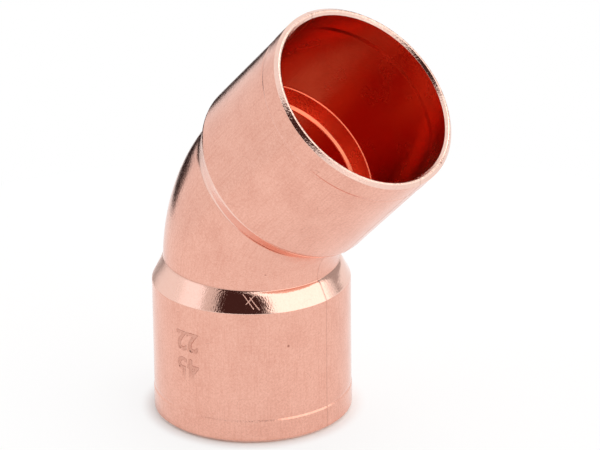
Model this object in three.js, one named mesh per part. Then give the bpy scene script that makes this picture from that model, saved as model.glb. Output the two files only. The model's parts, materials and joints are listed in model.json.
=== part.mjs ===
// A 45 degree solder elbow for 22 mm pipe: one length of copper tube, bent and drawn, with a
// socket at each end that a pipe is pushed into.
//
// Millimetres, +Z up along the lower socket, which stands on its mouth at z = 0.
// The elbow bends towards +X, and the origin is under the middle of its plan.

import * as THREE from 'three';
import { mergeVertices } from 'three/addons/utils/BufferGeometryUtils.js';

// ---- driving dimensions ----

const BEND_ANGLE = 45;          // degrees between the two socket axes
const BEND_RADIUS = 17;         // of the neck's centre line

const SOCKET_BORE = 22.1;       // diameter that takes the pipe
const SOCKET_WALL = 0.95;
const SOCKET_DEPTH = 15.9;      // inside, from the mouth to the stop that the pipe meets

const SHOULDER_LAG = 0.9;       // from the stop inside to the start of the shoulder outside
const SHOULDER_LENGTH = 2.7;    // the outside taper from socket to neck
const BEND_LEAD = 0.7;          // how far inside each shoulder the bend starts
const NECK_STEP = 1.4;          // how far the neck's outside lies in from the socket's
const NECK_WALL = 1.0;
const STOP_LENGTH = 2.0;        // the inside taper from socket bore to neck passage

const BAND_WIDTH = 3.0;         // the mouth's sizing band, a touch wider than the socket
const BAND_RISE = 0.06;
const BAND_SLOPE = 0.5;
const RIM_CHAMFER = 0.15;       // on both edges of each mouth

// ---- how finely the round shapes are cut ----

const SIDES = 72;               // facets around the tube
const BEND_STEPS = 10;          // rings along the bend

// ---- sizes that follow ----

const bendAngle = THREE.MathUtils.degToRad(BEND_ANGLE);
const boreRadius = SOCKET_BORE / 2;
const socketRadius = boreRadius + SOCKET_WALL;
const bandRadius = socketRadius + BAND_RISE;
const neckRadius = socketRadius - NECK_STEP;
const passageRadius = neckRadius - NECK_WALL;

const socketLength = SOCKET_DEPTH + SHOULDER_LAG;
const shoulderEnd = socketLength + SHOULDER_LENGTH;
const stopEnd = SOCKET_DEPTH + STOP_LENGTH;
const bendStart = shoulderEnd - BEND_LEAD;
const bendLength = BEND_RADIUS * bendAngle;
const tubeLength = 2 * bendStart + bendLength;

// ---- the wall's outline, as points (radius, distance along the centre line) ----

// From the middle of a mouth's rim, along the outside, to the end of the shoulder.
function outsideOfEnd() {
  return [
    [bandRadius - RIM_CHAMFER, 0],
    [bandRadius, RIM_CHAMFER],
    [bandRadius, BAND_WIDTH],
    [socketRadius, BAND_WIDTH + BAND_SLOPE],
    [socketRadius, socketLength],
    [neckRadius, shoulderEnd],
  ];
}

// From the middle of a mouth's rim, along the inside, to the end of the pipe stop.
function insideOfEnd() {
  return [
    [boreRadius + RIM_CHAMFER, 0],
    [boreRadius, RIM_CHAMFER],
    [boreRadius, SOCKET_DEPTH],
    [passageRadius, stopEnd],
  ];
}

// The same points measured from the other end of the tube, in the order that goes on from here.
function mirrored(points) {
  return points.map(([radius, along]) => [radius, tubeLength - along]).reverse();
}

// Rings between the two ends of a stretch of constant radius, so that it can follow the bend.
function stepsAlongBend(radius, from) {
  const steps = [];
  for (let i = 1; i < BEND_STEPS; i += 1) {
    steps.push([radius, THREE.MathUtils.lerp(from, tubeLength - from, i / BEND_STEPS)]);
  }
  return steps;
}

function wallOutline() {
  const outside = outsideOfEnd();
  const inside = insideOfEnd();
  const outer = [...outside, ...stepsAlongBend(neckRadius, shoulderEnd), ...mirrored(outside)];
  const inner = [...inside, ...stepsAlongBend(passageRadius, shoulderEnd), ...mirrored(inside)];
  const loop = [...outer, ...inner.reverse()];
  loop.push(loop[0]);
  return loop.map(([radius, along]) => new THREE.Vector2(radius, along));
}

// ---- the straight tube, and its bend ----

// A lathe turns its outline about +Y, so the tube is stood up along +Z afterwards.
function straightTube() {
  const lathe = new THREE.LatheGeometry(wallOutline(), SIDES);
  lathe.deleteAttribute('normal');
  lathe.deleteAttribute('uv');
  const tube = mergeVertices(lathe);
  tube.rotateX(Math.PI / 2);
  return tube;
}

// Moves a point of the straight tube to its place on the bent one: straight up to bendStart,
// around an arc in the XZ plane, then straight on.
function bendPoint(point) {
  const past = THREE.MathUtils.clamp(point.z - bendStart, 0, bendLength);
  const turned = past / BEND_RADIUS;
  const beyond = Math.max(point.z - bendStart - bendLength, 0);
  const below = Math.min(point.z, bendStart);
  const outwards = point.x;
  point.x = BEND_RADIUS * (1 - Math.cos(turned)) + beyond * Math.sin(turned)
    + outwards * Math.cos(turned);
  point.z = below + BEND_RADIUS * Math.sin(turned) + beyond * Math.cos(turned)
    - outwards * Math.sin(turned);
}

function bendTube(tube) {
  const positions = tube.attributes.position;
  const point = new THREE.Vector3();
  for (let i = 0; i < positions.count; i += 1) {
    point.fromBufferAttribute(positions, i);
    bendPoint(point);
    positions.setXYZ(i, point.x, point.y, point.z);
  }
  return tube;
}

function elbowBody() {
  const body = bendTube(straightTube());
  body.computeBoundingBox();
  const { min, max } = body.boundingBox;
  body.translate(-(min.x + max.x) / 2, 0, 0);
  body.computeVertexNormals();
  return body;
}

// ---- the model ----

const copper = new THREE.MeshStandardMaterial({ color: 0xe0a492, roughness: 0.34, metalness: 1 });

const elbow = new THREE.Group();
const body = new THREE.Mesh(elbowBody(), copper);
body.name = 'elbow_body';
elbow.add(body);

export default elbow;
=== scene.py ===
# %% [markdown]
# # A copper solder elbow
# The object is a 45 degree elbow for 22 mm pipe. It is one piece of metal: a length of copper tube
# with a bend in the middle and both ends widened into sockets. This notebook builds its finished
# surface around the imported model, which fixes where it stands and how large it is.

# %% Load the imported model
import json
import math

import bpy
from mathutils import Matrix, Vector


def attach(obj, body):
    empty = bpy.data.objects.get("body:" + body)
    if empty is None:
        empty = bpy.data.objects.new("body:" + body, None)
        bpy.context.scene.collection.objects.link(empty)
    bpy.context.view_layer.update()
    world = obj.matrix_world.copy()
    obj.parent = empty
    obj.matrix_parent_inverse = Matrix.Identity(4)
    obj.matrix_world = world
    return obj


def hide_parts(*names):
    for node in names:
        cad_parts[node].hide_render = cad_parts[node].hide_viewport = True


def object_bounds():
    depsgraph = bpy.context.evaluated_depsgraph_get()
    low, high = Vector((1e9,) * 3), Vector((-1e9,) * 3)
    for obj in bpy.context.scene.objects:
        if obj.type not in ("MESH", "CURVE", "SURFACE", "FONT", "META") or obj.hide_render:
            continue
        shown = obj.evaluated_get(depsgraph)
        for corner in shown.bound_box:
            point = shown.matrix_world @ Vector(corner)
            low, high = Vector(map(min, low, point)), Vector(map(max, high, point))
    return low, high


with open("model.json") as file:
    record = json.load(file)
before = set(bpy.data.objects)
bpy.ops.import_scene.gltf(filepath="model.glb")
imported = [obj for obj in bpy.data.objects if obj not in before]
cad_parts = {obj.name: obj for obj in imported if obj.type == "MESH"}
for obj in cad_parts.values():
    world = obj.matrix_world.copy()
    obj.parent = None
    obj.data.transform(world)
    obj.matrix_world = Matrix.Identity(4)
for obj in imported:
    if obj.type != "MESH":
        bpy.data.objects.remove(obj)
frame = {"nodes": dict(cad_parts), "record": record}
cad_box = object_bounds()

print("nodes:", sorted(frame["nodes"]))
print("box:", [tuple(round(x, 4) for x in corner) for corner in cad_box])

# %% [markdown]
# ## Sizes
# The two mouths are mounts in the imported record, so the bend's angle and the place of both sockets
# are read from there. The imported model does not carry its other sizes, so they are written out again
# here, in metres, and have to stay equal to the model's.

# %% Sizes
MM = 0.001
BORE_RADIUS = 11.05 * MM
SOCKET_RADIUS = 12.0 * MM
SOCKET_DEPTH = 15.9 * MM
SOCKET_LENGTH = 16.8 * MM
SHOULDER_LENGTH = 2.7 * MM
BEND_RADIUS = 17.0 * MM
BEND_LEAD = 0.7 * MM
NECK_RADIUS = 10.6 * MM
NECK_WALL = 1.0 * MM
STOP_LENGTH = 2.0 * MM
BAND_WIDTH = 3.0 * MM
BAND_RISE = 0.06 * MM

mounts = {mount["name"]: mount for mount in frame["record"]["mounts"]}
lower_axis_x = mounts["lower_mouth"]["pos_m"][0]
upper_axis = Vector(mounts["upper_mouth"]["axis"]).normalized()
bend_angle = math.atan2(upper_axis.x, upper_axis.z)
band_radius = SOCKET_RADIUS + BAND_RISE
passage_radius = NECK_RADIUS - NECK_WALL
shoulder_end = SOCKET_LENGTH + SHOULDER_LENGTH
bend_start = shoulder_end - BEND_LEAD
tube_length = 2 * bend_start + BEND_RADIUS * bend_angle

print("bend", round(math.degrees(bend_angle), 2), "degrees, tube", round(tube_length / MM, 2), "mm long")

# %% [markdown]
# ## The wall's outline
# Cut the straightened tube along its axis and the wall shows as one closed loop: out along the
# outside, over the far rim, and back along the bore. Each corner is written once, as distance from
# the axis, distance from the nearer mouth, how round it is, and the finish of the stretch after it.
# A lathe of this loop would do for a straight part; here the loop is kept as points, because the
# same loop has to follow the bend. The band at each mouth is pressed through, so it also shows inside.

# %% Corners of one end
OUTSIDE, SHOULDER, RIM, BORE = range(4)
GROOVE_DEPTH = 0.035 * MM
OUTER_BEVEL = 0.42 * MM
INNER_BEVEL = 0.32 * MM
RIM_ROUNDING = 0.08 * MM


def outside_corners(socket_rounding, neck_rounding):
    """The outside of one end, from its rim to the neck."""
    return [
        (band_radius - OUTER_BEVEL, 0.0, RIM_ROUNDING, RIM),
        (band_radius, OUTER_BEVEL, RIM_ROUNDING, OUTSIDE),
        (band_radius, BAND_WIDTH - 0.15 * MM, 0.1 * MM, OUTSIDE),
        (SOCKET_RADIUS - GROOVE_DEPTH, BAND_WIDTH + 0.1 * MM, 0.12 * MM, OUTSIDE),
        (SOCKET_RADIUS, BAND_WIDTH + 0.5 * MM, 0.3 * MM, OUTSIDE),
        (SOCKET_RADIUS, SOCKET_LENGTH, socket_rounding, SHOULDER),
        (NECK_RADIUS, shoulder_end, neck_rounding, OUTSIDE),
    ]


inside_corners = [
    (passage_radius, SOCKET_DEPTH + STOP_LENGTH, 0.2 * MM, BORE),
    (passage_radius + 0.45 * MM, SOCKET_DEPTH + STOP_LENGTH - 0.25 * MM, 0.2 * MM, BORE),
    (BORE_RADIUS - 0.14 * MM, SOCKET_DEPTH + 0.05 * MM, 0.08 * MM, BORE),
    (BORE_RADIUS, SOCKET_DEPTH, 0.05 * MM, BORE),
    (BORE_RADIUS, BAND_WIDTH + 0.5 * MM, 0.3 * MM, BORE),
    (BORE_RADIUS + BAND_RISE, BAND_WIDTH, 0.3 * MM, BORE),
    (BORE_RADIUS + BAND_RISE, INNER_BEVEL, RIM_ROUNDING, RIM),
    (BORE_RADIUS + BAND_RISE + INNER_BEVEL, 0.0, RIM_ROUNDING, RIM),
]


def far_end(corners):
    """The same corners at the other end, in the opposite order. Each stretch keeps its finish."""
    finishes = [finish for *_, finish in corners]
    turned = [(radius, tube_length - along, rounding) for radius, along, rounding, _ in reversed(corners)]
    return [(*corner, finish) for corner, finish in zip(turned, finishes[-2::-1] + finishes[-1:])]


lower_outside = outside_corners(socket_rounding=0.5 * MM, neck_rounding=0.6 * MM)
upper_outside = outside_corners(socket_rounding=1.6 * MM, neck_rounding=2.2 * MM)
upper_outside_loop = far_end(upper_outside)
upper_outside_loop[-1] = (*upper_outside_loop[-1][:3], RIM)
upper_inside_loop = far_end(inside_corners)
upper_inside_loop[-1] = (*upper_inside_loop[-1][:3], BORE)
loop_corners = lower_outside + upper_outside_loop + upper_inside_loop + inside_corners
print(len(loop_corners), "corners")

# %% [markdown]
# Sharp corners look like paper, so each one becomes a small arc. Long straight stretches are cut
# into steps, short ones where the bend or the stamped size mark needs them.

# %% Rings along the outline
ARC_STEPS = 6
ARC_SHARE = 0.45
EDGE_STEP = 0.12 * MM
STRETCH_STEP = 0.9 * MM
BEND_STEP = 0.45 * MM
MARK_STEP = 0.09 * MM
MARK_ALONG = 10.6 * MM
MARK_HEIGHT = 3.4 * MM
MARK_HALF_LENGTH = 0.95 * MARK_HEIGHT
MARK_HALF_WIDTH = 0.7 * MARK_HEIGHT


def rounded_corner(before, corner, after, rounding):
    """Points of the arc that replaces a corner of the outline."""
    back, forth = (before - corner).normalized(), (after - corner).normalized()
    half_turn = back.angle(forth) / 2
    shorter_side = min((before - corner).length, (after - corner).length)
    reach = min(rounding / math.tan(half_turn), ARC_SHARE * shorter_side)
    radius = reach * math.tan(half_turn)
    centre = corner + (back + forth).normalized() * (radius / math.sin(half_turn))
    start, end = corner + back * reach - centre, corner + forth * reach - centre
    turn = start.angle_signed(end)
    arc = []
    for step in range(ARC_STEPS + 1):
        point = start.copy()
        point.rotate(Matrix.Rotation(-turn * step / ARC_STEPS, 2))
        arc.append(centre + point)
    return arc


def step_size(radius, along):
    """How long a straight stretch's steps are at a place on the outline."""
    if radius > SOCKET_RADIUS - GROOVE_DEPTH and abs(along - MARK_ALONG) < MARK_HALF_LENGTH:
        return MARK_STEP
    in_bend = bend_start - BEND_STEP < along < tube_length - bend_start + BEND_STEP
    return BEND_STEP if in_bend else STRETCH_STEP


def stretch_points(start, end):
    """Points between two places on the outline, with a support ring close to each end."""
    length = (end - start).length
    if length < 3 * EDGE_STEP:
        return []
    direction = (end - start) / length
    at, places = EDGE_STEP, []
    while at < length - EDGE_STEP:
        places.append(start + direction * at)
        at += step_size(*places[-1])
    places.append(end - direction * EDGE_STEP)
    return places


def outline_rings():
    """Every ring of the tube as (radius, along, finish of the faces that follow it)."""
    corners = [(Vector(corner[:2]), *corner[2:]) for corner in loop_corners]
    arcs = []
    for index, (corner, rounding, _) in enumerate(corners):
        before, after = corners[index - 1][0], corners[(index + 1) % len(corners)][0]
        arcs.append(rounded_corner(before, corner, after, rounding))
    middle = ARC_STEPS // 2
    made = []
    for index, arc in enumerate(arcs):
        finish = corners[index][2]
        next_arc = arcs[(index + 1) % len(arcs)]
        made += [(*point, corners[index - 1][2]) for point in arc[:middle]]
        made += [(*point, finish) for point in arc[middle:]]
        made += [(*point, finish) for point in stretch_points(arc[-1], next_arc[0])]
    return made


rings = outline_rings()
print(len(rings), "rings")

# %% [markdown]
# The columns run the other way, round the tube. They are closer together under the size mark and
# along the two fine ridges that the halves of the die leave, on the inside and outside of the bend.

# %% Columns around the tube
MARK_ANGLE = math.radians(-88)
COARSE_COLUMN = math.radians(2.5)
FINE_COLUMN = 0.095 * MM / SOCKET_RADIUS
RIDGE_ZONE = 0.9 * MM / SOCKET_RADIUS
fine_sectors = [
    (-math.pi, RIDGE_ZONE),
    (MARK_ANGLE, MARK_HALF_WIDTH / SOCKET_RADIUS),
    (0.0, RIDGE_ZONE),
    (math.pi, RIDGE_ZONE),
]


def column_angles():
    """Angles of the columns, from -180 degrees up to, but without, 180 degrees."""
    edges = [-math.pi]
    for middle, half in fine_sectors:
        edges += [edge for edge in (middle - half, middle + half) if -math.pi < edge < math.pi]
    edges.append(math.pi)
    angles = []
    for number, (start, end) in enumerate(zip(edges, edges[1:])):
        spacing = FINE_COLUMN if number % 2 == 0 else COARSE_COLUMN
        count = math.ceil((end - start) / spacing)
        angles += [start + (end - start) * step / count for step in range(count)]
    return angles


columns = column_angles()
print(len(columns), "columns, so", 2 * len(rings) * len(columns), "triangles")

# %% [markdown]
# The rings and columns go into the node tree as two objects that are only points. A column is one
# number, its angle. A ring is its radius, its place along the tube, and how much painted shade it
# gets: a thin line of painted shade runs in the corner under each shoulder.

# %% Points for the node tree
# Painted shade in the corner under each shoulder: how dark it gets at most, and how fast it fades.
CORNER_SHADE_MOST = 0.45
CORNER_SHADE_FALL = 0.5 * MM


def points_object(name, points, **numbers):
    """An object that is only points, with lists of whole numbers for them."""
    mesh = bpy.data.meshes.new(name)
    mesh.from_pydata(points, [], [])
    for key, values in numbers.items():
        mesh.attributes.new(key, "INT", "POINT").data.foreach_set("value", values)
    made = bpy.data.objects.new(name, mesh)
    bpy.context.scene.collection.objects.link(made)
    return made


def corner_shade(radius, along):
    """How much painted shade a ring gets, up to its most, by its distance from the corner under a shoulder.
    """
    corners = [(NECK_RADIUS, shoulder_end), (NECK_RADIUS, tube_length - shoulder_end)]
    distance = min(math.dist((radius, along), corner) for corner in corners)
    return max(0.0, CORNER_SHADE_MOST - distance / CORNER_SHADE_FALL)


ring_points = [(radius, along, corner_shade(radius, along)) for radius, along, _ in rings]
outline_object = points_object("outline", ring_points, finish=[ring[2] for ring in rings])
columns_object = points_object("columns", [(angle, 0, 0) for angle in columns])
print(sum(point[2] > 0 for point in ring_points), "rings lie in a darkened corner")

# %% [markdown]
# ## Small helpers for node trees
# Shader trees and geometry trees are both built from nodes and links, so the same helpers serve for
# both: one joins a value or a socket, one makes a node, three do a sum, a dot product and a ramp, and
# the last makes an empty group with its sockets.

# %% Node helpers
def put(tree, socket, value):
    """Joins another socket to this one, or writes a plain value on it."""
    if isinstance(value, bpy.types.NodeSocket):
        tree.links.new(value, socket)
    else:
        socket.default_value = value


def node(tree, kind, inputs=None, **settings):
    """A new node with its settings, and its inputs by name or number."""
    made = tree.nodes.new(kind)
    for key, value in settings.items():
        setattr(made, key, value)
    for key, value in (inputs or {}).items():
        put(tree, made.inputs[key], value)
    return made


def calc(tree, operation, *values):
    """One step of arithmetic."""
    made = node(tree, "ShaderNodeMath", operation=operation)
    for socket, value in zip(made.inputs, values):
        put(tree, socket, value)
    return made.outputs[0]


def dot(tree, first, second):
    """How far one direction points along another."""
    made = node(tree, "ShaderNodeVectorMath", {0: first, 1: second}, operation="DOT_PRODUCT")
    return made.outputs["Value"]


def ramp(tree, value, low, high, to_low=0.0, to_high=1.0, smooth=True):
    """Maps low..high to to_low..to_high, and holds the end values beyond."""
    made = node(tree, "ShaderNodeMapRange", {
        "Value": value, "From Min": low, "From Max": high, "To Min": to_low, "To Max": to_high},
        interpolation_type="SMOOTHSTEP" if smooth else "LINEAR")
    return made.outputs["Result"]


def new_tree(name, kind, inputs, outputs):
    """An empty node group with named sockets. Each is (name, type) or (name, type, default)."""
    tree = bpy.data.node_groups.new(name, kind)
    for direction, sockets in (("INPUT", inputs), ("OUTPUT", outputs)):
        for label, socket_type, *default in sockets:
            made = tree.interface.new_socket(
                name=label, in_out=direction, socket_type="NodeSocket" + socket_type)
            if default:
                made.default_value = default[0]
    start, end = tree.nodes.new("NodeGroupInput"), tree.nodes.new("NodeGroupOutput")
    return tree, start.outputs, end.inputs


# %% [markdown]
# ## The tube by Geometry Nodes
# The whole fitting follows a rule: ring by ring along the outline, column by column around. So the
# tree starts from a flat grid with one vertex for each pair, looks up its ring and column, and moves
# it to its place on the straight tube. Everything pressed into the metal is added there, where it is
# easy to describe, and the straight tube is bent last.

# %% Tree for the tube wall
wall_tree, wall_in, wall_out = new_tree(
    "Elbow wall", "GeometryNodeTree",
    [("Outline", "Geometry"), ("Columns", "Object"),
     ("Bend Start", "Float"), ("Bend Radius", "Float"), ("Bend Angle", "Float"), ("Axis X", "Float"),
     ("Waviness", "Float"), ("Ridge Height", "Float"), ("Ridge Width", "Float"),
     ("Size Mark", "String"), ("Mark Height", "Float"), ("Mark Depth", "Float"),
     ("Mark Angle", "Float"), ("Mark Along", "Float"), ("Outer Radius", "Float"),
     ("Outside Finish", "Material"), ("Shoulder Finish", "Material"),
     ("Rim Finish", "Material"), ("Bore Finish", "Material")],
    [("Geometry", "Geometry")])


def count_of(tree, geometry):
    """How many points a geometry has."""
    return node(tree, "GeometryNodeAttributeDomainSize", {"Geometry": geometry}).outputs["Point Count"]


def looked_up(tree, geometry, value, index, data_type):
    """A value of a geometry's point, found by its number."""
    inputs = {"Geometry": geometry, "Value": value, "Index": index}
    made = node(tree, "GeometryNodeSampleIndex", inputs, data_type=data_type, domain="POINT")
    return made.outputs["Value"]


def grid_number(tree, place, count, rounding):
    """The ring or column number of a place between -0.5 and 0.5 on the grid."""
    number = calc(tree, "MULTIPLY", calc(tree, "ADD", place, 0.5), count)
    return calc(tree, "MODULO", calc(tree, rounding, number), count)


columns_info = node(wall_tree, "GeometryNodeObjectInfo", {"Object": wall_in["Columns"]})
columns_points = columns_info.outputs["Geometry"]
ring_count = count_of(wall_tree, wall_in["Outline"])
column_count = count_of(wall_tree, columns_points)
grid = node(wall_tree, "GeometryNodeMeshGrid", {
    "Size X": 1.0, "Size Y": 1.0,
    "Vertices X": calc(wall_tree, "ADD", ring_count, 1),
    "Vertices Y": calc(wall_tree, "ADD", column_count, 1),
}).outputs["Mesh"]
position = node(wall_tree, "GeometryNodeInputPosition").outputs[0]
on_grid = node(wall_tree, "ShaderNodeSeparateXYZ", {0: position}).outputs

# %% Finish of each face
face_ring = grid_number(wall_tree, on_grid["X"], ring_count, "FLOOR")
finish_read = node(wall_tree, "GeometryNodeInputNamedAttribute", {"Name": "finish"}, data_type="INT")
finish_value = finish_read.outputs["Attribute"]
face_finish = looked_up(wall_tree, wall_in["Outline"], finish_value, face_ring, "INT")
finished = node(wall_tree, "GeometryNodeStoreNamedAttribute", {
    "Geometry": grid, "Name": "finish", "Value": face_finish}, data_type="INT", domain="FACE").outputs[0]

# %% Place on the straight tube
ring_number = grid_number(wall_tree, on_grid["X"], ring_count, "ROUND")
column_number = grid_number(wall_tree, on_grid["Y"], column_count, "ROUND")
ring_place = node(wall_tree, "ShaderNodeSeparateXYZ", {
    0: looked_up(wall_tree, wall_in["Outline"], position, ring_number, "FLOAT_VECTOR")}).outputs
column_place = node(wall_tree, "ShaderNodeSeparateXYZ", {
    0: looked_up(wall_tree, columns_points, position, column_number, "FLOAT_VECTOR")}).outputs
radius, along, angle = ring_place["X"], ring_place["Y"], column_place["X"]
cosine, sine = calc(wall_tree, "COSINE", angle), calc(wall_tree, "SINE", angle)


def on_straight_tube(distance):
    """The point at a distance from the straight tube's axis."""
    return node(wall_tree, "ShaderNodeCombineXYZ", {
        "X": calc(wall_tree, "MULTIPLY", distance, cosine),
        "Y": calc(wall_tree, "MULTIPLY", distance, sine), "Z": along}).outputs[0]


# %% [markdown]
# ### What is pressed into the wall
# Three things move the metal in or out a little. The press leaves it slightly wavy, which breaks up
# the reflections. The two halves of the die leave a hair-thin ridge where they meet, and it prints
# through everywhere but in the narrow passage of the neck. The size mark is stamped: the digits are
# real outlines, and a vertex sinks by how close it is to them.

# %% Waves and ridges
WAVE_SCALE = 190.0
wave_noise = node(wall_tree, "ShaderNodeTexNoise", {
    "Vector": on_straight_tube(radius), "Scale": WAVE_SCALE, "Detail": 1.0}).outputs[0]
waves = calc(wall_tree, "MULTIPLY", calc(wall_tree, "SUBTRACT", wave_noise, 0.5), wall_in["Waviness"])
past_passage = ramp(wall_tree, radius, BORE_RADIUS - 0.7 * MM, BORE_RADIUS - 0.5 * MM, smooth=False)

ridge_distance = calc(wall_tree, "MULTIPLY", calc(wall_tree, "ABSOLUTE", sine), wall_in["Outer Radius"])
near_ridge = ramp(wall_tree, ridge_distance, wall_in["Ridge Width"], 0.0)
ridge_mask = calc(wall_tree, "MULTIPLY", near_ridge, past_passage)
ridge = calc(wall_tree, "MULTIPLY", ridge_mask, wall_in["Ridge Height"])

# %% The stamped size, with painted shade in its recesses
STAMP_REACH = 0.13 * MM
STAMP_SHADE_REACH = 0.17 * MM
RIDGE_STAIN = 0.45

digits = node(wall_tree, "GeometryNodeStringToCurves", {
    "String": wall_in["Size Mark"], "Size": wall_in["Mark Height"], "Character Spacing": 1.0},
    align_x="CENTER", align_y="MIDDLE").outputs["Curve Instances"]
digits = node(wall_tree, "GeometryNodeRealizeInstances", {"Geometry": digits}).outputs[0]
digits = node(wall_tree, "GeometryNodeFillCurve", {"Curve": digits}).outputs["Mesh"]
from_mark = node(wall_tree, "ShaderNodeCombineXYZ", {
    "X": calc(wall_tree, "MULTIPLY",
              calc(wall_tree, "SUBTRACT", wall_in["Mark Angle"], angle), wall_in["Outer Radius"]),
    "Y": calc(wall_tree, "SUBTRACT", wall_in["Mark Along"], along)}).outputs[0]
digit_distance = node(wall_tree, "GeometryNodeProximity", {
    "Geometry": digits, "Sample Position": from_mark}, target_element="FACES").outputs["Distance"]
on_socket = calc(wall_tree, "GREATER_THAN", radius, SOCKET_RADIUS - 0.01 * MM)
near_digit = ramp(wall_tree, digit_distance, STAMP_REACH, 0.0)
stamp = calc(wall_tree, "MULTIPLY", near_digit, wall_in["Mark Depth"])
stamp = calc(wall_tree, "MULTIPLY", stamp, on_socket)

# Painted shade: the walls of each stamped digit are darkened most, its floor half as much.
by_digit = ramp(wall_tree, digit_distance, STAMP_SHADE_REACH, 0.0)
stamp_floor = ramp(wall_tree, digit_distance, 0.0, 0.05 * MM, 0.5, 1.0)
stamp_shade = calc(wall_tree, "MULTIPLY", calc(wall_tree, "MULTIPLY", by_digit, stamp_floor), on_socket)
# Painted shade in the stamp is joined with the die ridge's line, which is a real mark.
crease = calc(wall_tree, "MAXIMUM", stamp_shade, calc(wall_tree, "MULTIPLY", ridge_mask, RIDGE_STAIN))
# Painted shade: the ring's third number darkens the corner under each shoulder.
crease = calc(wall_tree, "MAXIMUM", crease, ring_place["Z"])

pressed = calc(wall_tree, "ADD", radius, waves)
pressed = calc(wall_tree, "ADD", pressed, ridge)
pressed = calc(wall_tree, "SUBTRACT", pressed, stamp)
straight_place = on_straight_tube(pressed)

# %% [markdown]
# ### The bend
# A point keeps its distance along the tube and its distance from the centre line. Up to the start of
# the bend nothing changes, then the centre line turns on a circle, and past the end it runs straight.

# %% Bend the tube
bend_length = calc(wall_tree, "MULTIPLY", wall_in["Bend Radius"], wall_in["Bend Angle"])
past_start = calc(wall_tree, "SUBTRACT", along, wall_in["Bend Start"])
in_bend = calc(wall_tree, "MINIMUM", calc(wall_tree, "MAXIMUM", past_start, 0.0), bend_length)
beyond = calc(wall_tree, "MAXIMUM", calc(wall_tree, "SUBTRACT", past_start, bend_length), 0.0)
turned = calc(wall_tree, "DIVIDE", in_bend, wall_in["Bend Radius"])
turn_sine, turn_cosine = calc(wall_tree, "SINE", turned), calc(wall_tree, "COSINE", turned)
straight_xyz = node(wall_tree, "ShaderNodeSeparateXYZ", {0: straight_place}).outputs
arc_x = calc(wall_tree, "MULTIPLY", wall_in["Bend Radius"], calc(wall_tree, "SUBTRACT", 1.0, turn_cosine))
arc_z = calc(wall_tree, "MULTIPLY", wall_in["Bend Radius"], turn_sine)
centre_x = calc(wall_tree, "ADD", wall_in["Axis X"], calc(
    wall_tree, "ADD", arc_x, calc(wall_tree, "MULTIPLY", beyond, turn_sine)))
before_bend = calc(wall_tree, "MINIMUM", along, wall_in["Bend Start"])
centre_z = calc(wall_tree, "ADD", before_bend, calc(
    wall_tree, "ADD", arc_z, calc(wall_tree, "MULTIPLY", beyond, turn_cosine)))
bent_place = node(wall_tree, "ShaderNodeCombineXYZ", {
    "X": calc(wall_tree, "ADD", centre_x, calc(wall_tree, "MULTIPLY", straight_xyz["X"], turn_cosine)),
    "Y": straight_xyz["Y"],
    "Z": calc(wall_tree, "SUBTRACT", centre_z, calc(wall_tree, "MULTIPLY", straight_xyz["X"], turn_sine)),
}).outputs[0]

# %% Store what the finishes need, and close the grid into a tube
MERGE_DISTANCE = 0.001 * MM
stored = node(wall_tree, "GeometryNodeStoreNamedAttribute", {
    "Geometry": finished, "Name": "straight", "Value": straight_place},
    data_type="FLOAT_VECTOR", domain="POINT").outputs[0]
stored = node(wall_tree, "GeometryNodeStoreNamedAttribute", {
    "Geometry": stored, "Name": "crease", "Value": crease},
    data_type="FLOAT", domain="POINT").outputs[0]
placed = node(wall_tree, "GeometryNodeSetPosition", {"Geometry": stored, "Position": bent_place}).outputs[0]
closed = node(wall_tree, "GeometryNodeMergeByDistance", {
    "Geometry": placed, "Distance": MERGE_DISTANCE}).outputs[0]
smooth = node(wall_tree, "GeometryNodeSetShadeSmooth", {"Geometry": closed}).outputs[0]
realized = node(wall_tree, "GeometryNodeRealizeInstances", {"Geometry": smooth}).outputs[0]

# %% Materials, at the tree's end
coated = realized
for number, slot_name in ((OUTSIDE, "Outside"), (SHOULDER, "Shoulder"), (RIM, "Rim"), (BORE, "Bore")):
    chosen = node(wall_tree, "FunctionNodeCompare", {2: finish_value, 3: number},
                  data_type="INT", operation="EQUAL")
    coated = node(wall_tree, "GeometryNodeSetMaterial", {
        "Geometry": coated, "Selection": chosen.outputs[0],
        "Material": wall_in[slot_name + " Finish"]}).outputs[0]
put(wall_tree, wall_out["Geometry"], coated)
print("wall tree:", len(wall_tree.nodes), "nodes")

# %% [markdown]
# ## Copper
# Bare copper has no paint, so its look is all reflection: how it tints the light, and how rough the
# press, the annealing oven and the brush have left it. Three effects are shared by every finish, and
# each is a node group: a grain of fine lines, a mottle of faint stains, and small handling marks.

# %% Shared effect: drawn grain
grain_group, grain_in, grain_out = new_tree(
    "Drawn grain", "ShaderNodeTree",
    [("Place", "Vector"), ("Lines Around", "Float", 9000.0), ("Lines Along", "Float", 500.0),
     ("Detail", "Float", 3.0)],
    [("Lines", "Float")])
grain_scale = node(grain_group, "ShaderNodeCombineXYZ", {
    "X": grain_in["Lines Around"], "Y": grain_in["Lines Around"], "Z": grain_in["Lines Along"]}).outputs[0]
grain_place = node(grain_group, "ShaderNodeVectorMath", {0: grain_in["Place"], 1: grain_scale},
                   operation="MULTIPLY").outputs[0]
grain_noise = node(grain_group, "ShaderNodeTexNoise", {
    "Vector": grain_place, "Scale": 1.0, "Detail": grain_in["Detail"]}).outputs[0]
put(grain_group, grain_out["Lines"], grain_noise)

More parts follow.
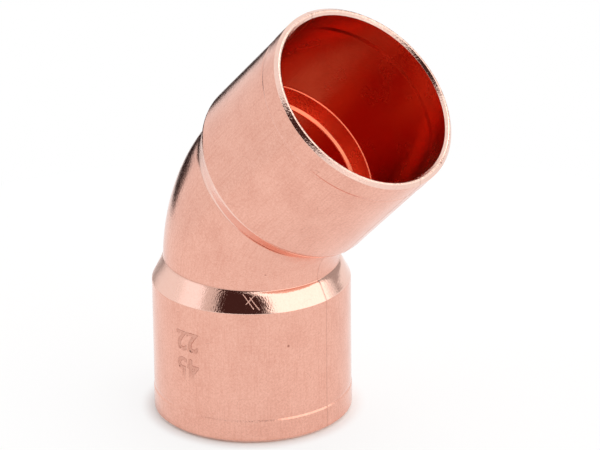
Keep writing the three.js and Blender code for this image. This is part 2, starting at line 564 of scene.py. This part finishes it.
# %% Shared effect: mottle
mottle_group, mottle_in, mottle_out = new_tree(
    "Copper mottle", "ShaderNodeTree",
    [("Place", "Vector"), ("Metal", "Color"), ("Stain", "Color"), ("Patch Scale", "Float", 260.0),
     ("Speck Scale", "Float", 4200.0), ("Stain Amount", "Float", 0.5)],
    [("Color", "Color"), ("Patches", "Float"), ("Specks", "Float")])
patch_noise = node(mottle_group, "ShaderNodeTexNoise", {
    "Vector": mottle_in["Place"], "Scale": mottle_in["Patch Scale"],
    "Detail": 4.0, "Roughness": 0.6}).outputs[0]
speck_noise = node(mottle_group, "ShaderNodeTexNoise", {
    "Vector": mottle_in["Place"], "Scale": mottle_in["Speck Scale"], "Detail": 2.0}).outputs[0]
patches = ramp(mottle_group, patch_noise, 0.35, 0.75)
specks = ramp(mottle_group, speck_noise, 0.3, 0.7, smooth=False)
PATCH_SHARE = 0.35
blotches = calc(mottle_group, "ADD", calc(mottle_group, "MULTIPLY", patches, PATCH_SHARE),
                calc(mottle_group, "MULTIPLY", specks, 1 - PATCH_SHARE))
stain_mix = calc(mottle_group, "MULTIPLY", mottle_in["Stain Amount"], blotches)
tinted = node(mottle_group, "ShaderNodeMix", {0: stain_mix, 6: mottle_in["Metal"], 7: mottle_in["Stain"]},
              data_type="RGBA").outputs[2]
put(mottle_group, mottle_out["Color"], tinted)
put(mottle_group, mottle_out["Patches"], patches)
put(mottle_group, mottle_out["Specks"], specks)

# %% Shared effect: handling marks
scratch_group, scratch_in, scratch_out = new_tree(
    "Handling marks", "ShaderNodeTree",
    [("Place", "Vector"), ("Scale", "Float", 330.0), ("Line Width", "Float", 0.006),
     ("Share", "Float", 0.66)],
    [("Scratches", "Float"), ("Dots", "Float")])
scratch_noise = node(scratch_group, "ShaderNodeTexNoise", {
    "Vector": scratch_in["Place"], "Scale": scratch_in["Scale"], "Detail": 1.0}).outputs[0]
off_line = calc(scratch_group, "ABSOLUTE", calc(scratch_group, "SUBTRACT", scratch_noise, 0.5))
near_line = ramp(scratch_group, off_line, scratch_in["Line Width"], 0.0)
scratch_area = node(scratch_group, "ShaderNodeTexNoise", {
    "Vector": scratch_in["Place"], "Scale": calc(scratch_group, "MULTIPLY", scratch_in["Scale"], 1.3),
    "Detail": 0.0}).outputs[0]
area_edge = calc(scratch_group, "ADD", scratch_in["Share"], 0.05)
in_area = ramp(scratch_group, scratch_area, scratch_in["Share"], area_edge)
dot_cells = node(scratch_group, "ShaderNodeTexVoronoi", {
    "Vector": scratch_in["Place"],
    "Scale": calc(scratch_group, "MULTIPLY", scratch_in["Scale"], 1.1)}).outputs
dot_chosen = calc(scratch_group, "GREATER_THAN", node(scratch_group, "ShaderNodeSeparateColor", {
    0: dot_cells["Color"]}).outputs[0], 0.9)
dot_mask = calc(scratch_group, "MULTIPLY", ramp(scratch_group, dot_cells["Distance"], 0.09, 0.03), dot_chosen)
put(scratch_group, scratch_out["Scratches"], calc(scratch_group, "MULTIPLY", near_line, in_area))
put(scratch_group, scratch_out["Dots"], dot_mask)
print("shared effects:", [group.name for group in (grain_group, mottle_group, scratch_group)])

# %% [markdown]
# The rubbed shoulder has three short crossing scratches. Each is a line on the unrolled surface:
# across is the way around, and up is along. Only the roughness changes, so they show in a reflection.

# %% Scratches on the shoulder
STROKE_ANGLE = math.radians(-49)
STROKE_ALONG = 18.2 * MM
STROKES = [((-0.7, 0.8), (0.5, -0.8)), ((0.8, 0.8), (-0.3, -0.3)), ((0.1, 0.4), (1.1, -0.9))]
STROKE_WIDTH = 0.07 * MM
STROKE_ROUGHNESS = 0.65


def stroke_mask(tree, place):
    """1 on the strokes and 0 elsewhere."""
    parts = node(tree, "ShaderNodeSeparateXYZ", {0: place}).outputs
    angle = calc(tree, "ARCTAN2", parts["Y"], parts["X"])
    across = calc(tree, "MULTIPLY", calc(tree, "SUBTRACT", angle, STROKE_ANGLE), NECK_RADIUS)
    upwards = calc(tree, "SUBTRACT", parts["Z"], STROKE_ALONG)
    point = node(tree, "ShaderNodeCombineXYZ", {"X": across, "Y": upwards}).outputs[0]
    mask = 0.0
    for start, end in STROKES:
        start, end = Vector((*start, 0)) * MM, Vector((*end, 0)) * MM
        along_stroke = end - start
        from_start = node(tree, "ShaderNodeVectorMath", {0: point, 1: start},
                          operation="SUBTRACT").outputs[0]
        share = calc(tree, "DIVIDE", dot(tree, from_start, along_stroke), along_stroke.length_squared)
        share = calc(tree, "MINIMUM", calc(tree, "MAXIMUM", share, 0.0), 1.0)
        nearest = node(tree, "ShaderNodeVectorMath", {0: along_stroke, "Scale": share}, operation="SCALE")
        away = node(tree, "ShaderNodeVectorMath", {0: from_start, 1: nearest.outputs[0]},
                    operation="DISTANCE").outputs["Value"]
        mask = calc(tree, "MAXIMUM", mask, ramp(tree, away, STROKE_WIDTH, 0.4 * STROKE_WIDTH))
    return mask


# %% [markdown]
# The burnished finish does not go all the way round: one side of each shoulder is bright, and the
# other side is only satin. How bright a place is follows from the angle around the tube.

# %% A finish that is bright on one side
RUBBED_EDGE = 0.12


def rubbed_roughness(tree, place, bright, rubbed):
    """The bright roughness around a middle angle, and the satin one away from it."""
    middle, half, satin = rubbed
    axis = (math.cos(middle), math.sin(middle), 0.0)
    across = node(tree, "ShaderNodeVectorMath", {0: place, 1: (1, 1, 0)}, operation="MULTIPLY")
    across = node(tree, "ShaderNodeVectorMath", {0: across.outputs[0]}, operation="NORMALIZE")
    facing = dot(tree, across.outputs[0], axis)
    rough = ramp(tree, facing, math.cos(half + RUBBED_EDGE), math.cos(half), satin, bright)
    scratched = calc(tree, "MULTIPLY", stroke_mask(tree, place), STROKE_ROUGHNESS)
    return calc(tree, "MAXIMUM", rough, scratched)


# %% [markdown]
# Every finish is put together in the same way, so one function makes them all. The three groups give
# masks, the masks mix the metal's colour with a stain and with dark marks, and the same masks move the
# roughness and the bump, so that a stain is also a little duller.

# %% A copper finish
# The colour of handling marks and the die line, and also of the painted shade in the stamp and under the
# shoulders.
MARK_AND_SHADE_COLOR = (0.30, 0.10, 0.065, 1.0)
SCRATCH_SHARE = 0.35
SHADE_AND_DIE_LINE_SHARE = 0.5
LINE_STAIN_SHARE = 0.5


def copper_finish(name, metal, stain, stain_amount, roughness, grain, bump, marks, rubbed=None):
    """One copper finish. roughness is (low, high), grain (around, along) and bump (lines, specks).

    rubbed is (middle angle, half angle, roughness away from it) for a finish made on one side only.
    """
    material = bpy.data.materials.new(name)
    material.use_nodes = True
    tree = material.node_tree
    surface = tree.nodes["Principled BSDF"]
    surface.inputs["Metallic"].default_value = 1.0
    place = node(tree, "ShaderNodeAttribute", attribute_name="straight").outputs["Vector"]
    shade_and_die_line_mask = node(tree, "ShaderNodeAttribute", attribute_name="crease").outputs["Fac"]
    mottle = node(tree, "ShaderNodeGroup", {}, node_tree=mottle_group)
    put(tree, mottle.inputs["Place"], place)
    put(tree, mottle.inputs["Metal"], (*metal, 1.0))
    put(tree, mottle.inputs["Stain"], (*stain, 1.0))
    put(tree, mottle.inputs["Stain Amount"], stain_amount)
    lines = node(tree, "ShaderNodeGroup", {}, node_tree=grain_group)
    put(tree, lines.inputs["Place"], place)
    put(tree, lines.inputs["Lines Around"], grain[0])
    put(tree, lines.inputs["Lines Along"], grain[1])
    handling = node(tree, "ShaderNodeGroup", {}, node_tree=scratch_group)
    put(tree, handling.inputs["Place"], place)

    line_stain = ramp(tree, lines.outputs["Lines"], 0.45, 0.8, 0.0, LINE_STAIN_SHARE * stain_amount)
    streaked = node(tree, "ShaderNodeMix", {0: line_stain, 6: mottle.outputs["Color"], 7: (*stain, 1.0)},
                    data_type="RGBA").outputs[2]
    faint_scratches = calc(tree, "MULTIPLY", handling.outputs["Scratches"], SCRATCH_SHARE)
    handled = calc(tree, "MAXIMUM", handling.outputs["Dots"], faint_scratches)
    # This mask holds painted shade from the stamp and the shoulder corners, together with the die line's real
    # mark.
    shade_and_die_line_weight = calc(tree, "MULTIPLY", shade_and_die_line_mask, SHADE_AND_DIE_LINE_SHARE)
    marks_and_shade = calc(tree, "MAXIMUM", calc(tree, "MULTIPLY", marks, handled), shade_and_die_line_weight)
    color = node(tree, "ShaderNodeMix", {0: marks_and_shade, 6: streaked, 7: MARK_AND_SHADE_COLOR},
                 data_type="RGBA").outputs[2]
    put(tree, surface.inputs["Base Color"], color)

    rough = ramp(tree, mottle.outputs["Patches"], 0.0, 1.0, roughness[0], roughness[1], smooth=False)
    if rubbed:
        rough = rubbed_roughness(tree, place, rough, rubbed)
    put(tree, surface.inputs["Roughness"], rough)

    line_bump = node(tree, "ShaderNodeBump", {
        "Strength": 1.0, "Distance": bump[0], "Height": lines.outputs["Lines"]}).outputs[0]
    speck_bump = node(tree, "ShaderNodeBump", {
        "Strength": 1.0, "Distance": bump[1], "Height": mottle.outputs["Specks"],
        "Normal": line_bump}).outputs[0]
    put(tree, surface.inputs["Normal"], speck_bump)
    return material


# %% [markdown]
# The fitting has four finishes. The outside is satin, with a grain along the tube. The shoulders are
# smoother and brighter. The rims are cut faces, the palest of all, with a fine even tooth. A real bore
# looks deep red because light leaves it after several reflections. Here that is helped along: the
# bore's own colour is set duller and much redder than the rest of the copper.

# %% The four finishes
outside_copper = copper_finish(
    "satin drawn copper", metal=(0.905, 0.50, 0.395), stain=(0.66, 0.28, 0.20), stain_amount=0.6,
    roughness=(0.12, 0.21), grain=(5000.0, 260.0), bump=(0.005 * MM, 0.006 * MM), marks=0.8)
shoulder_copper = copper_finish(
    "burnished shoulder copper", metal=(0.95, 0.62, 0.52), stain=(0.82, 0.44, 0.34), stain_amount=0.3,
    roughness=(0.05, 0.10), grain=(6500.0, 420.0), bump=(0.013 * MM, 0.003 * MM), marks=0.5,
    rubbed=(math.radians(-22), math.radians(72), 0.3))
rim_copper = copper_finish(
    "cut rim copper", metal=(0.96, 0.68, 0.58), stain=(0.86, 0.50, 0.41), stain_amount=0.4,
    roughness=(0.06, 0.14), grain=(4500.0, 4500.0), bump=(0.035 * MM, 0.003 * MM), marks=0.8)
# Painted reflection: the bore's deep red colour stands in for light reflected many times inside it.
bore_copper = copper_finish(
    "bore copper with painted red reflections", metal=(0.90, 0.245, 0.14), stain=(0.78, 0.18, 0.09), stain_amount=0.5,
    roughness=(0.20, 0.30), grain=(3000.0, 200.0), bump=(0.003 * MM, 0.005 * MM), marks=0.0)
print("finishes:", [m.name for m in (outside_copper, shoulder_copper, rim_copper, bore_copper)])

# %% [markdown]
# ## Build the elbow
# The tree runs on the outline's points. Its named inputs are set through each socket's identifier,
# and the result is then kept as a plain mesh.

# %% Run the tree and keep a plain mesh
modifier = outline_object.modifiers.new("Elbow wall", "NODES")
modifier.node_group = wall_tree
wall_values = {
    "Columns": columns_object, "Bend Start": bend_start, "Bend Radius": BEND_RADIUS, "Bend Angle": bend_angle,
    "Axis X": lower_axis_x, "Waviness": 0.045 * MM, "Ridge Height": 0.04 * MM, "Ridge Width": 0.17 * MM,
    "Size Mark": "45\n22", "Mark Height": MARK_HEIGHT, "Mark Depth": 0.15 * MM, "Mark Angle": MARK_ANGLE,
    "Mark Along": MARK_ALONG, "Outer Radius": SOCKET_RADIUS,
    "Outside Finish": outside_copper, "Shoulder Finish": shoulder_copper,
    "Rim Finish": rim_copper, "Bore Finish": bore_copper,
}
for item in wall_tree.interface.items_tree:
    if item.in_out == "INPUT" and item.name in wall_values:
        modifier[item.identifier] = wall_values[item.name]

evaluated = outline_object.evaluated_get(bpy.context.evaluated_depsgraph_get())
elbow_mesh = bpy.data.meshes.new_from_object(evaluated)
elbow = bpy.data.objects.new("copper_elbow", elbow_mesh)
bpy.context.scene.collection.objects.link(elbow)
for helper in (outline_object, columns_object):
    bpy.data.objects.remove(helper)

# %% Check the mesh
import bmesh

# An empty material slot can be left over from the tree. No face uses it.
while None in list(elbow_mesh.materials):
    elbow_mesh.materials.pop(index=list(elbow_mesh.materials).index(None))

checked = bmesh.new()
checked.from_mesh(elbow_mesh)
open_edges = sum(not edge.is_manifold for edge in checked.edges)
volume = checked.calc_volume(signed=True)
if volume < 0:
    bmesh.ops.reverse_faces(checked, faces=checked.faces)
    checked.to_mesh(elbow_mesh)
checked.free()
print(len(elbow_mesh.polygons), "faces,", open_edges, "open edges,", round(volume * 1e6, 3), "cm3,",
      [m.name for m in elbow_mesh.materials])

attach(elbow, "root")
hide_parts("elbow_body")

# %% [markdown]
# ## The studio
# The fitting stands on a small pale table in a white tent. Bare metal shows its surroundings, so the
# tent is as much a part of the look as the finish. The camera sees plain white behind the object.
#
# The table glows a little, but only for the camera and for reflections, so it looks as white as the
# tent and still keeps the contact shadow. Inside the lower mouth it glows dim red instead, which is a
# second help to the bore's colour.

# %% Floor
FLOOR_RADIUS = 88 * MM
WHITE_SHARE = 0.8
CONTACT_SHARE = 0.1
CONTACT_START = SOCKET_RADIUS - 0.3 * MM
CONTACT_END = SOCKET_RADIUS + 2.0 * MM
BORE_SHARE = 0.45
BORE_GLOW = (0.9, 0.28, 0.17, 1)

bpy.ops.mesh.primitive_circle_add(vertices=96, radius=FLOOR_RADIUS, fill_type="NGON", location=(0, 0, 0))
floor = bpy.context.object
floor.name = "table_top"
floor_material = bpy.data.materials.new("pale table")
floor_material.use_nodes = True
floor_tree = floor_material.node_tree
floor_surface = floor_tree.nodes["Principled BSDF"]
floor_surface.inputs["Roughness"].default_value = 0.6
floor_grain = node(floor_tree, "ShaderNodeTexNoise", {"Scale": 900.0, "Detail": 2.0}).outputs[0]
floor_color = node(floor_tree, "ShaderNodeMix", {
    0: floor_grain, 6: (0.86, 0.86, 0.86, 1), 7: (0.9, 0.9, 0.9, 1)}, data_type="RGBA").outputs[2]
put(floor_tree, floor_surface.inputs["Base Color"], floor_color)

# %% The floor's glow
rays = node(floor_tree, "ShaderNodeLightPath").outputs
seen = calc(floor_tree, "MINIMUM", 1.0, calc(
    floor_tree, "ADD", rays["Is Camera Ray"], rays["Is Glossy Ray"]))
floor_place = node(floor_tree, "ShaderNodeTexCoord").outputs["Object"]
from_socket = node(floor_tree, "ShaderNodeVectorMath", {0: floor_place, 1: (lower_axis_x, 0, 0)},
                   operation="DISTANCE").outputs["Value"]
under_bore = calc(floor_tree, "LESS_THAN", from_socket, BORE_RADIUS)
open_floor = ramp(floor_tree, from_socket, CONTACT_START, CONTACT_END, CONTACT_SHARE, 1.0)
open_floor = calc(floor_tree, "MAXIMUM", open_floor, calc(floor_tree, "MULTIPLY", BORE_SHARE, under_bore))
white_share = calc(floor_tree, "MULTIPLY", calc(floor_tree, "MULTIPLY", seen, WHITE_SHARE), open_floor)
light_color = node(floor_tree, "ShaderNodeMix", {0: under_bore, 6: (1, 1, 1, 1), 7: BORE_GLOW},
                   data_type="RGBA").outputs[2]
floor_light = node(floor_tree, "ShaderNodeEmission", {"Color": light_color, "Strength": 1.0}).outputs[0]
floor_mix = node(floor_tree, "ShaderNodeMixShader", {
    0: white_share, 1: floor_surface.outputs[0], 2: floor_light}).outputs[0]
put(floor_tree, floor_tree.nodes["Material Output"].inputs["Surface"], floor_mix)
floor.data.materials.append(floor_material)
print("table top:", round(2 * FLOOR_RADIUS / MM), "mm wide")

# %% [markdown]
# ### Cards in the tent
# A card is a soft-edged rectangle of directions, placed by its azimuth from the camera, its elevation
# and its half sizes in degrees. A tube shows each card as a band along its length. The dark card over
# the viewer gives the dark patch on the bright shoulder, the low one at the back gives the dark line
# down the back edge, and the grey and bright ones at the sides shade the broad faces.

# %% Card group
card_group, card_in, card_out = new_tree(
    "Card", "ShaderNodeTree",
    [("Direction", "Vector"), ("Middle", "Vector"), ("Rightwards", "Vector"), ("Upwards", "Vector"),
     ("Half Width", "Float", 20.0), ("Half Height", "Float", 20.0), ("Softness", "Float", 4.0)],
    [("Mask", "Float")])


def off_axis(tree, sideways, forwards):
    """Degrees between a direction and the card's middle, along one of its sides."""
    return calc(tree, "ABSOLUTE", calc(tree, "DEGREES", calc(tree, "ARCTAN2", sideways, forwards)))


forwards = dot(card_group, card_in["Direction"], card_in["Middle"])
card_mask = None
for side, size in (("Rightwards", "Half Width"), ("Upwards", "Half Height")):
    away = off_axis(card_group, dot(card_group, card_in["Direction"], card_in[side]), forwards)
    outer = calc(card_group, "ADD", card_in[size], card_in["Softness"])
    inside = ramp(card_group, away, outer, card_in[size])
    card_mask = inside if card_mask is None else calc(card_group, "MULTIPLY", card_mask, inside)
put(card_group, card_out["Mask"], card_mask)

# %% [markdown]
# ### Camera
# A long lens from a little above keeps the sides of the tube nearly parallel.
# The camera looks down into the upper mouth, which faces it.

# %% Camera
VIEW_AZIMUTH = math.radians(41.95)
VIEW_ELEVATION = math.radians(22.22)
VIEW_ROLL = math.radians(-0.57)
VIEW_DISTANCE = 452.5 * MM
LENS = 229.3
AIM_RIGHT, AIM_UP = 0.47 * MM, -0.94 * MM


def direction(azimuth, elevation):
    """From the object: azimuth 0 is towards -Y and 90 degrees towards +X."""
    return Vector((math.sin(azimuth) * math.cos(elevation), -math.cos(azimuth) * math.cos(elevation),
                   math.sin(elevation)))


backwards = direction(VIEW_AZIMUTH, VIEW_ELEVATION)
level_right = Vector((math.cos(VIEW_AZIMUTH), math.sin(VIEW_AZIMUTH), 0))
level_up = backwards.cross(level_right)
aim = (cad_box[0] + cad_box[1]) / 2 + level_right * AIM_RIGHT + level_up * AIM_UP
right = level_right * math.cos(VIEW_ROLL) + level_up * math.sin(VIEW_ROLL)
up = backwards.cross(right)
camera = bpy.data.objects.new("camera", bpy.data.cameras.new("camera"))
camera.data.lens = LENS
camera.data.clip_start = 0.05
camera.matrix_world = Matrix.Translation(aim + backwards * VIEW_DISTANCE) @ Matrix(
    (right, up, backwards)).transposed().to_4x4()
bpy.context.scene.collection.objects.link(camera)
bpy.context.scene.camera = camera
print("camera:", [round(x, 3) for x in camera.matrix_world.translation])

# %% Tent
world = bpy.data.worlds.new("tent")
world.use_nodes = True
bpy.context.scene.world = world
tent = world.node_tree
tent_direction = node(tent, "ShaderNodeTexCoord").outputs["Generated"]
TENT_WHITE = 0.95

# each card: degrees to the right of the camera, elevation, half width, half height, softness, colour
cards = [
    (-5, 38, 32, 17, 3, (0.055, 0.022, 0.02)),
    (200, -11, 22, 4, 1.5, (0.03, 0.02, 0.02)),
    (137, 24, 22, 18, 3, (0.45, 0.42, 0.41)),
    (-75, 33, 14, 22, 4, (1.15, 1.15, 1.18)),
    (-52, 33, 6, 20, 3, (0.72, 0.66, 0.64)),
    (66, 35, 33, 34, 8, (1.6, 1.55, 1.5)),
]
tent_color = (TENT_WHITE, TENT_WHITE, TENT_WHITE, 1.0)
for azimuth, elevation, half_width, half_height, softness, color in cards:
    card_azimuth = VIEW_AZIMUTH + math.radians(azimuth)
    middle = direction(card_azimuth, math.radians(elevation))
    sideways = Vector((math.cos(card_azimuth), math.sin(card_azimuth), 0))
    card = node(tent, "ShaderNodeGroup", {}, node_tree=card_group)
    for key, value in (("Direction", tent_direction), ("Middle", middle), ("Rightwards", sideways),
                       ("Upwards", middle.cross(sideways)), ("Half Width", half_width),
                       ("Half Height", half_height), ("Softness", softness)):
        put(tent, card.inputs[key], value)
    tent_color = node(tent, "ShaderNodeMix", {0: card.outputs["Mask"], 6: tent_color, 7: (*color, 1.0)},
                      data_type="RGBA", clamp_result=False).outputs[2]
tent_rays = node(tent, "ShaderNodeLightPath").outputs
shown = node(tent, "ShaderNodeMix", {0: tent_rays["Is Camera Ray"], 6: tent_color, 7: (1, 1, 1, 1)},
             data_type="RGBA").outputs[2]
put(tent, tent.nodes["Background"].inputs["Color"], shown)
put(tent, tent.nodes["Background"].inputs["Strength"], 1.0)
print(len(cards), "cards in the tent")

# %% [markdown]
# ### Lamp
# The tent lights everything softly and from all round, so one weak lamp is enough. It is large and
# high, behind the object and to the right of the camera.

# %% Lamp
def soft_lamp(name, azimuth, elevation, distance, size, power):
    """A square soft light that points at the object."""
    lamp = bpy.data.lights.new(name, "AREA")
    lamp.shape = "SQUARE"
    lamp.size = size
    lamp.energy = power
    holder = bpy.data.objects.new(name, lamp)
    away = direction(VIEW_AZIMUTH + math.radians(azimuth), math.radians(elevation))
    holder.location = away * distance
    holder.rotation_euler = away.to_track_quat("Z", "Y").to_euler()
    bpy.context.scene.collection.objects.link(holder)
    print(name, "at", [round(x, 3) for x in holder.location])


soft_lamp("overhead light", azimuth=120, elevation=75, distance=0.6, size=0.3, power=0.8)

# %% [markdown]
# ## Finish
# The view transform is Standard, so a colour comes out as it is written.

# %% Colour output
bpy.context.scene.view_settings.view_transform = "Standard"
